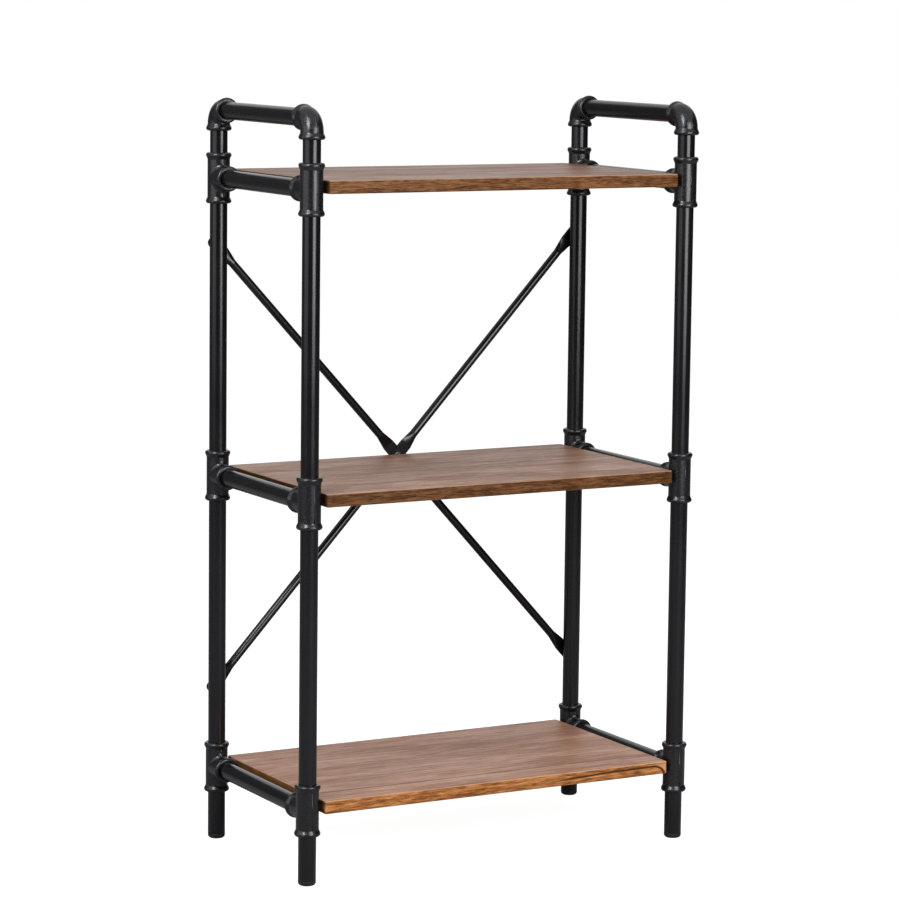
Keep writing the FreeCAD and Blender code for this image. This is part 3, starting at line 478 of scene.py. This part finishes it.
class Laminate(Shader):
    """A board's coat. Its grain follows the board, and the band round its edge."""

    def __init__(self, tier, seed):
        super().__init__(f"{tier}_board_laminate")
        self.seed = seed
        self.low, self.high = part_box(f"{tier}_shelf")
        self.x, y, z = self.place()
        self.from_front = self.math("SUBTRACT", y, self.low.y)
        self.from_below = self.math("SUBTRACT", z, self.low.z)
        normal = self.node("ShaderNodeSeparateXYZ")
        self.feed(normal.inputs[0], self.node("ShaderNodeNewGeometry").outputs["True Normal"])
        sideways, _, self.upward = normal.outputs
        # These are 1 on the board's top and underside, and on its two ends. The ends' mask carries
        # the painted shade on the end faces.
        self.flat = self.fit(self.math("ABSOLUTE", self.upward), *FLAT_LEAN, smooth=True)
        self.end = self.fit(self.math("ABSOLUTE", sideways), *END_LEAN, smooth=True)
        # The way along the band goes on to the rear where the band turns round a corner.
        round_edge = self.math("MULTIPLY", self.math("SIGN", self.x), self.from_front)
        round_edge = self.math("ADD", self.x, round_edge)
        self.along = self.math("ADD", self.blend(self.flat, round_edge, self.x), seed)
        self.across = self.blend(self.flat, self.from_below, self.from_front)
        sway = self.centred(self.drawn_out(stretch=3.0, fineness=14.0, detail=2, offset=0))
        self.swayed = self.math("MULTIPLY_ADD", sway, GRAIN_SWAY, self.across)

    def stretched(self, stretch, fineness, detail, offset, beside):
        """Noise with stretch features a metre along the grain, and fineness across it."""
        long_way = self.math("MULTIPLY", self.along, stretch)
        short_way = self.math("MULTIPLY", beside, fineness)
        where = self.vector(long_way, short_way, self.seed + offset)
        return self.noise(where, scale=1, detail=detail, roughness=GRAIN_ROUGHNESS)

    def drawn_out(self, stretch, fineness, detail, offset):
        """Noise drawn out straight along the board."""
        return self.stretched(stretch, fineness, detail, offset, self.across)

    def streaks(self, stretch, fineness, detail, offset):
        """Noise drawn out along grain that sways from side to side."""
        return self.stretched(stretch, fineness, detail, offset, self.swayed)

    def grain(self, fine, contrast):
        """The grain's tone, from 0 where it is dark to 1 where it is pale."""
        coarse = self.streaks(stretch=4, fineness=34, detail=3, offset=0)
        middling = self.streaks(stretch=16, fineness=190, detail=4, offset=3.1)
        tone = 0.0
        for layer, edge, top in zip((coarse, middling, fine), EDGE_SHARES, TOP_SHARES):
            tone = self.math("MULTIPLY_ADD", layer, self.blend(self.flat, edge, top), tone)
        spread = GRAIN_CONTRAST * contrast
        tone = self.math("MULTIPLY_ADD", tone, spread, (1 - spread) / 2)
        cloud = self.centred(self.drawn_out(stretch=5.0, fineness=16.0, detail=2, offset=31))
        clouding = self.math("MULTIPLY", self.flat, CLOUDING * contrast)
        return self.math("ADD", tone, self.math("MULTIPLY", cloud, clouding))

    def flecks(self):
        """Short dark ticks and longer checks in the grain, stronger on the edge."""
        ticks = self.streaks(stretch=110, fineness=800, detail=2, offset=11.3)
        checks = self.streaks(stretch=14, fineness=330, detail=2, offset=17.9)
        kinds = []
        for noise, depths in ((ticks, TICK_DEPTHS), (checks, CHECK_DEPTHS)):
            depth = self.blend(self.flat, *depths)
            kinds.append(self.math("MULTIPLY", self.fit(noise, *FLECK_NOISE), depth))
        return self.math("MAXIMUM", *kinds)

    def seam(self, number, distance, wander, depth):
        """A long dark line in the top's grain, about this far from the front edge."""
        bend = self.drawn_out(stretch=2.0, fineness=0.0, detail=3, offset=23 + number)
        line = self.math("MULTIPLY_ADD", self.centred(bend), wander, distance)
        gap = self.math("ABSOLUTE", self.math("SUBTRACT", self.from_front, line))
        whole = self.drawn_out(stretch=9.0, fineness=0.0, detail=3, offset=41 + number)
        whole = self.fit(whole, *SEAM_NOISE)
        seam = self.math("MULTIPLY", self.fit(gap, SEAM_CORE, SEAM_EDGE, 1.0, 0.0), whole)
        return self.math("MULTIPLY", self.math("MULTIPLY", seam, self.flat), depth)

    def edge_crack(self):
        """The crack along the front edge, and the block of wood that it cuts off."""
        crest_x = self.high.x - CRACK_CREST_MARGIN
        before = self.math("MAXIMUM", self.math("SUBTRACT", crest_x, self.x), 0.0)
        beyond = self.math("MAXIMUM", self.math("SUBTRACT", self.x, crest_x), 0.0)
        rise = self.math("MULTIPLY", self.math("POWER", before, 2.0), -CRACK_BOW)
        line = self.math("ADD", rise, CRACK_CREST_HEIGHT)
        squeezed = self.math("MULTIPLY", beyond, CRACK_CREST_HEIGHT / CRACK_RUNOUT)
        squeezed = self.math("POWER", squeezed, 2.0)
        reached = self.math("MULTIPLY_ADD", self.from_below, self.from_below, squeezed)
        past = self.math("SUBTRACT", self.math("SQRT", reached), line)
        faded_in = self.fit(self.x, CRACK_START, CRACK_IN_FULL)
        reach = self.math("SUBTRACT", faded_in, self.flat, clamp=True)
        crack = self.fit(self.math("ABSOLUTE", past), CRACK_CORE, CRACK_EDGE, 1.0, 0.0)
        block = self.math("MULTIPLY", self.fit(past, BLOCK_START, BLOCK_IN_FULL), reach)
        near_end = self.fit(self.x, crest_x, self.high.x - BLOCK_MARGIN)
        return self.math("MULTIPLY", crack, reach), self.math("MULTIPLY", block, near_end)

    def arris_highlight_and_wear(self):
        """How strong the painted highlight and paler worn print are on the rounded upper edge, and
        0 elsewhere.
        """
        above_edge = self.fit(self.upward, *ARRIS_LEAN)
        below_top = self.fit(self.upward, *ARRIS_FADE, 1.0, 0.0)
        highlight_and_wear = self.drawn_out(stretch=14.0, fineness=0.0, detail=3, offset=53)
        highlight_and_wear = self.fit(highlight_and_wear, *ARRIS_HIGHLIGHT_AND_WEAR_NOISE, LEAST_ARRIS_HIGHLIGHT_AND_WEAR, 1.0)
        return self.math("MULTIPLY", self.math("MULTIPLY", above_edge, below_top), highlight_and_wear)


def make_board_laminate(tier, seed, top_painted_shade, edge_painted_shade, contrast, sheen, seams, cracked):
    """Rustic oak laminate for one board, with painted shade on its ends, a painted highlight and
    paler worn print along its rounded upper edge, and painted light and shade for its tier.
    """
    paint = Laminate(tier, seed)
    fine = paint.streaks(stretch=60, fineness=620, detail=3, offset=7.7)
    tone = paint.grain(fine, contrast)
    colour = paint.tint(paint.flat, paint.ramp(tone, EDGE_TONES), paint.ramp(tone, TOP_TONES))
    # Painted light and shade: the top and the edge are lightened or darkened by this board's own
    # shades.
    shade = paint.blend(paint.flat, edge_painted_shade, top_painted_shade)
    colour = paint.tint(1.0, colour, paint.vector(shade, shade, shade), "MULTIPLY")
    dark = paint.flecks()
    for number, seam in enumerate(seams):
        dark = paint.math("MAXIMUM", dark, paint.seam(number, **seam))
    if cracked:
        crack, block = paint.edge_crack()
        dark = paint.math("MAXIMUM", dark, crack)
        colour = paint.tint(paint.math("MULTIPLY", block, BLOCK_PALENESS), colour, PALE_TONE)
    colour = paint.tint(dark, colour, CRACK_TONE)
    # The rounded upper edge gets a painted highlight, together with paler worn print.
    highlight_and_wear = paint.math("MULTIPLY", paint.arris_highlight_and_wear(), ARRIS_HIGHLIGHT_AND_WEAR)
    colour = paint.tint(highlight_and_wear, colour, ARRIS_HIGHLIGHT_AND_WEAR_TONE)
    # Painted shade on the end faces, where they lie in shadow beside the rails.
    colour = paint.tint(paint.math("MULTIPLY", paint.end, END_PAINTED_SHADE), colour, END_PAINTED_SHADE_TONE)
    paint.feed(paint.surface.inputs["Base Color"], colour)
    paint.feed(paint.surface.inputs["Roughness"], paint.vary(tone, DULLEST, GLOSSIEST))
    specular = paint.blend(paint.flat, EDGE_SHEEN, sheen)
    paint.feed(paint.surface.inputs["Specular IOR Level"], specular)
    height = paint.math("SUBTRACT", fine, dark)
    paint.feed(paint.surface.inputs["Normal"], paint.bump(height, distance=GRAIN_HEIGHT))
    return paint.material


# The three boards are one laminate. Each board's top and edge shades are painted light and shade,
# for the light that falls on its tier.
BOARDS = {
    "bottom": {
        "seed": 1.7, "top_painted_shade": 1.15, "edge_painted_shade": 0.90, "contrast": 0.80,
        "sheen": 0.45, "cracked": True,
        "seams": [
            {"distance": 0.048, "wander": 0.014, "depth": 0.85},
            {"distance": 0.105, "wander": 0.020, "depth": 0.45},
            {"distance": 0.238, "wander": 0.018, "depth": 0.30},
        ],
    },
    "middle": {
        "seed": 4.9, "top_painted_shade": 0.88, "edge_painted_shade": 0.24, "contrast": 1.05,
        "sheen": 0.40, "cracked": False,
        "seams": [
            {"distance": 0.070, "wander": 0.020, "depth": 0.45},
            {"distance": 0.190, "wander": 0.022, "depth": 0.60},
        ],
    },
    "top": {
        "seed": 8.3, "top_painted_shade": 0.55, "edge_painted_shade": 0.31, "contrast": 1.1,
        "sheen": 0.35, "cracked": False,
        "seams": [
            {"distance": 0.098, "wander": 0.018, "depth": 0.60},
            {"distance": 0.222, "wander": 0.024, "depth": 0.60},
        ],
    },
}


# ---------------------------------------------------------------- painting the frame


def make_coats():
    """The materials of all the record's slots but the boards'."""
    return {
        "black_tube": make_tube_coat(),
        "black_fitting": make_fitting_coat(),
        "foot_plastic": make_foot_plastic(),
        "dark_fastener": make_fastener_steel(
            "dark_fastener", dark=(0.020, 0.020, 0.022), light=(0.032, 0.032, 0.034),
            metallic=0.0, smoothest=0.29, roughest=0.42,
        ),
        "plated_steel": make_fastener_steel(
            "plated_steel", dark=(0.50, 0.50, 0.48), light=(0.64, 0.64, 0.61),
            metallic=1.0, smoothest=0.25, roughest=0.38,
        ),
    }


def paint_node(name, material):
    """Gives a CAD node one material."""
    materials = frame["nodes"][name].data.materials
    materials.clear()
    materials.append(material)


def paint_nodes(coats):
    """Gives every CAD node the material of its slot, and each board its own."""
    for part in frame["record"]["subparts"]:
        if part["material_slot"] in coats:
            paint_node(part["node"], coats[part["material_slot"]])
    for tier in TIERS:
        paint_node(f"{tier}_shelf", make_board_laminate(tier, **BOARDS[tier]))


# ---------------------------------------------------------------- small cast and welded detail

TUBE_RADIUS = 0.0125
FITTING_WALL = 0.0034
BRANCH_WALL = 0.0029
SOCKET_PLAY = 0.0001
ELBOW_THROAT = 0.003
TEE_BLEND = 0.007
# How far the bead and its taper reach from the mouth of a fitting.
BEAD_REACH = 0.0085
RUN_RADIUS = TUBE_RADIUS + SOCKET_PLAY + FITTING_WALL
BRANCH_RADIUS = TUBE_RADIUS + SOCKET_PLAY + BRANCH_WALL
ELBOW_BEND = RUN_RADIUS + ELBOW_THROAT

# A parting line in section, in millimetres: across it, and out from the surface.
RIDGE = [(-0.9, -0.3), (-0.6, 0.08), (-0.3, 0.24), (0, 0.3), (0.3, 0.24), (0.6, 0.08), (0.9, -0.3)]
MILLIMETRE = 0.001
ARC_STEPS = 16


def add_piece(name, built, material):
    """A smooth-shaded mesh object that rides on the unit."""
    bmesh.ops.recalc_face_normals(built, faces=built.faces)
    mesh = bpy.data.meshes.new(name)
    built.to_mesh(mesh)
    built.free()
    mesh.materials.append(material)
    for face in mesh.polygons:
        face.use_smooth = True
    piece = bpy.data.objects.new(name, mesh)
    bpy.context.scene.collection.objects.link(piece)
    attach(piece, "root")


def add_strip(built, rings):
    """Skins a row of closed rings of points, and closes both ends."""
    rows = [[built.verts.new(point) for point in ring] for ring in rings]
    count = len(rows[0])
    for row, following in zip(rows, rows[1:]):
        for number in range(count):
            beside = (number + 1) % count
            built.faces.new((row[number], row[beside], following[beside], following[number]))
    built.faces.new(rows[0])
    built.faces.new(rows[-1])


def add_ridge(built, corner, turn, path):
    """A parting line along path, which lists (place, outward direction) as (y, z) pairs.

    Places are from the fitting's corner. turn is -1 on a fitting that faces forward.
    """
    rings = []
    for (y, z), (out_y, out_z) in path:
        ring = []
        for across, out in RIDGE:
            step = Vector((across, turn * out_y * out, out_z * out)) * MILLIMETRE
            ring.append(corner + Vector((0, turn * y, z)) + step)
        rings.append(ring)
    add_strip(built, rings)


def arc_path(middle, radius, start, end, outward=1):
    """An arc about middle from one angle to another, in degrees from +Y towards +Z."""
    path = []
    for step in range(ARC_STEPS + 1):
        angle = math.radians(start + (end - start) * step / ARC_STEPS)
        way = (math.cos(angle), math.sin(angle))
        place = (middle[0] + radius * way[0], middle[1] + radius * way[1])
        path.append((place, (outward * way[0], outward * way[1])))
    return path


def elbow_paths(root):
    """Round the outside and the inside of an elbow's bend. The lines end at root."""
    middle = (ELBOW_BEND, -ELBOW_BEND)
    outer = [((-RUN_RADIUS, -root), (-1, 0))]
    outer += arc_path(middle, ELBOW_BEND + RUN_RADIUS, 180, 90)
    outer.append(((root, RUN_RADIUS), (0, 1)))
    inner = [((RUN_RADIUS, -root), (1, 0))]
    inner += arc_path(middle, ELBOW_BEND - RUN_RADIUS, 180, 90, outward=-1)
    inner.append(((root, -RUN_RADIUS), (0, -1)))
    return outer, inner


def tee_paths(root):
    """Down the back of a tee, and from each end of its run to its branch."""
    back = [((-RUN_RADIUS, -root), (-1, 0)), ((-RUN_RADIUS, root), (-1, 0))]
    fillet = (RUN_RADIUS + TEE_BLEND, BRANCH_RADIUS + TEE_BLEND)
    upper = [((RUN_RADIUS, root), (1, 0))]
    upper += arc_path(fillet, TEE_BLEND, 180, 270, outward=-1)
    upper.append(((root, BRANCH_RADIUS), (0, 1)))
    lower = [((y, -z), (out_y, -out_z)) for (y, z), (out_y, out_z) in upper]
    return back, upper, lower


def add_parting_line(fitting, corner, turn, paths, coat):
    """The line that a two-part mould leaves round a fitting, between its beads."""
    built = bmesh.new()
    for path in paths:
        add_ridge(built, corner, turn, path)
    add_piece(f"{fitting}_parting_line", built, coat)


def add_parting_lines(coat):
    """A parting line on every elbow and tee."""
    for side in SIDES:
        for row in ROWS:
            turn = 1 if row == "front" else -1
            leg_low, leg_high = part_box(f"{side}_{row}_leg")
            x, y = (leg_low.x + leg_high.x) / 2, (leg_low.y + leg_high.y) / 2
            handle_low, handle_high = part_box(f"{side}_handle")
            corner = Vector((x, y, (handle_low.z + handle_high.z) / 2))
            elbow_low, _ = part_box(f"{side}_{row}_elbow")
            root = corner.z - elbow_low.z - BEAD_REACH
            add_parting_line(f"{side}_{row}_elbow", corner, turn, elbow_paths(root), coat)
            for tier in TIERS:
                low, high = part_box(f"{side}_{row}_{tier}_tee")
                corner = Vector((x, y, (low.z + high.z) / 2))
                root = (high.z - low.z) / 2 - BEAD_REACH
                add_parting_line(f"{side}_{row}_{tier}_tee", corner, turn, tee_paths(root), coat)


TAB_WIDTH = 0.025
# A weld stops this far inside each side of its tab.
WELD_MARGIN = 0.001
WELD_RADIUS = 0.0014
# The ripples' share of the radius, and the step from one to the next.
WELD_RIPPLE = 0.10
WELD_PITCH = 0.0016
# The slow swelling's share of the radius, and its rate along the weld.
WELD_SWELL = 0.08
WELD_SWELL_RATE = 260
# The share of the radius left at the ends, and how late the weld thins out.
WELD_END = 0.15
WELD_TAPER = 8
WELD_STEP = 0.0004
WELD_SIDES = 12
# Puts the front and rear welds' ripples out of step.
WELD_SEED_STEP = 40


def add_weld(built, x, z, start, end, seed):
    """A rippled weld bead along Y, which thins out at both ends."""
    steps = round((end - start) / WELD_STEP)
    rings = []
    for step in range(steps + 1):
        y = start + (end - start) * step / steps
        from_middle = 2 * step / steps - 1
        swell = 1 + WELD_SWELL * math.sin(seed + WELD_SWELL_RATE * y)
        taper = max(WELD_END, 1 - from_middle ** WELD_TAPER)
        ripple = 1 - WELD_RIPPLE * abs(math.sin(math.pi * y / WELD_PITCH + seed))
        radius = WELD_RADIUS * taper * swell * ripple
        ring = []
        for side in range(WELD_SIDES):
            angle = 2 * math.pi * side / WELD_SIDES
            ring.append((x + radius * math.cos(angle), y, z + radius * math.sin(angle)))
        rings.append(ring)
    add_strip(built, rings)


def add_tab_welds(coat):
    """Weld beads above and below each support tab, where it meets its rail."""
    for tier in TIERS:
        built = bmesh.new()
        tab_low, tab_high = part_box(f"{tier}_support_tabs")
        for sign, side in ((-1, "left"), (1, "right")):
            rail_low, rail_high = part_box(f"{side}_{tier}_rail")
            rail_x = (rail_low.x + rail_high.x) / 2
            rail_z = (rail_low.z + rail_high.z) / 2
            for start in (tab_low.y, tab_high.y - TAB_WIDTH):
                for z in (tab_low.z, tab_high.z):
                    x = rail_x - sign * math.sqrt(TUBE_RADIUS ** 2 - (z - rail_z) ** 2)
                    first, last = start + WELD_MARGIN, start + TAB_WIDTH - WELD_MARGIN
                    add_weld(built, x, z, first, last, WELD_SEED_STEP * start + z)
        add_piece(f"{tier}_tab_welds", built, coat)


# ---------------------------------------------------------------- the scene

make_camera()
make_lights()
for flag_name, flag in FLAGS.items():
    make_flag(flag_name, **flag)
make_world()
make_floor()
coats = make_coats()
paint_nodes(coats)
add_parting_lines(coats["black_fitting"])
add_tab_welds(coats["black_tube"])

bpy.context.scene.view_settings.view_transform = "Standard"
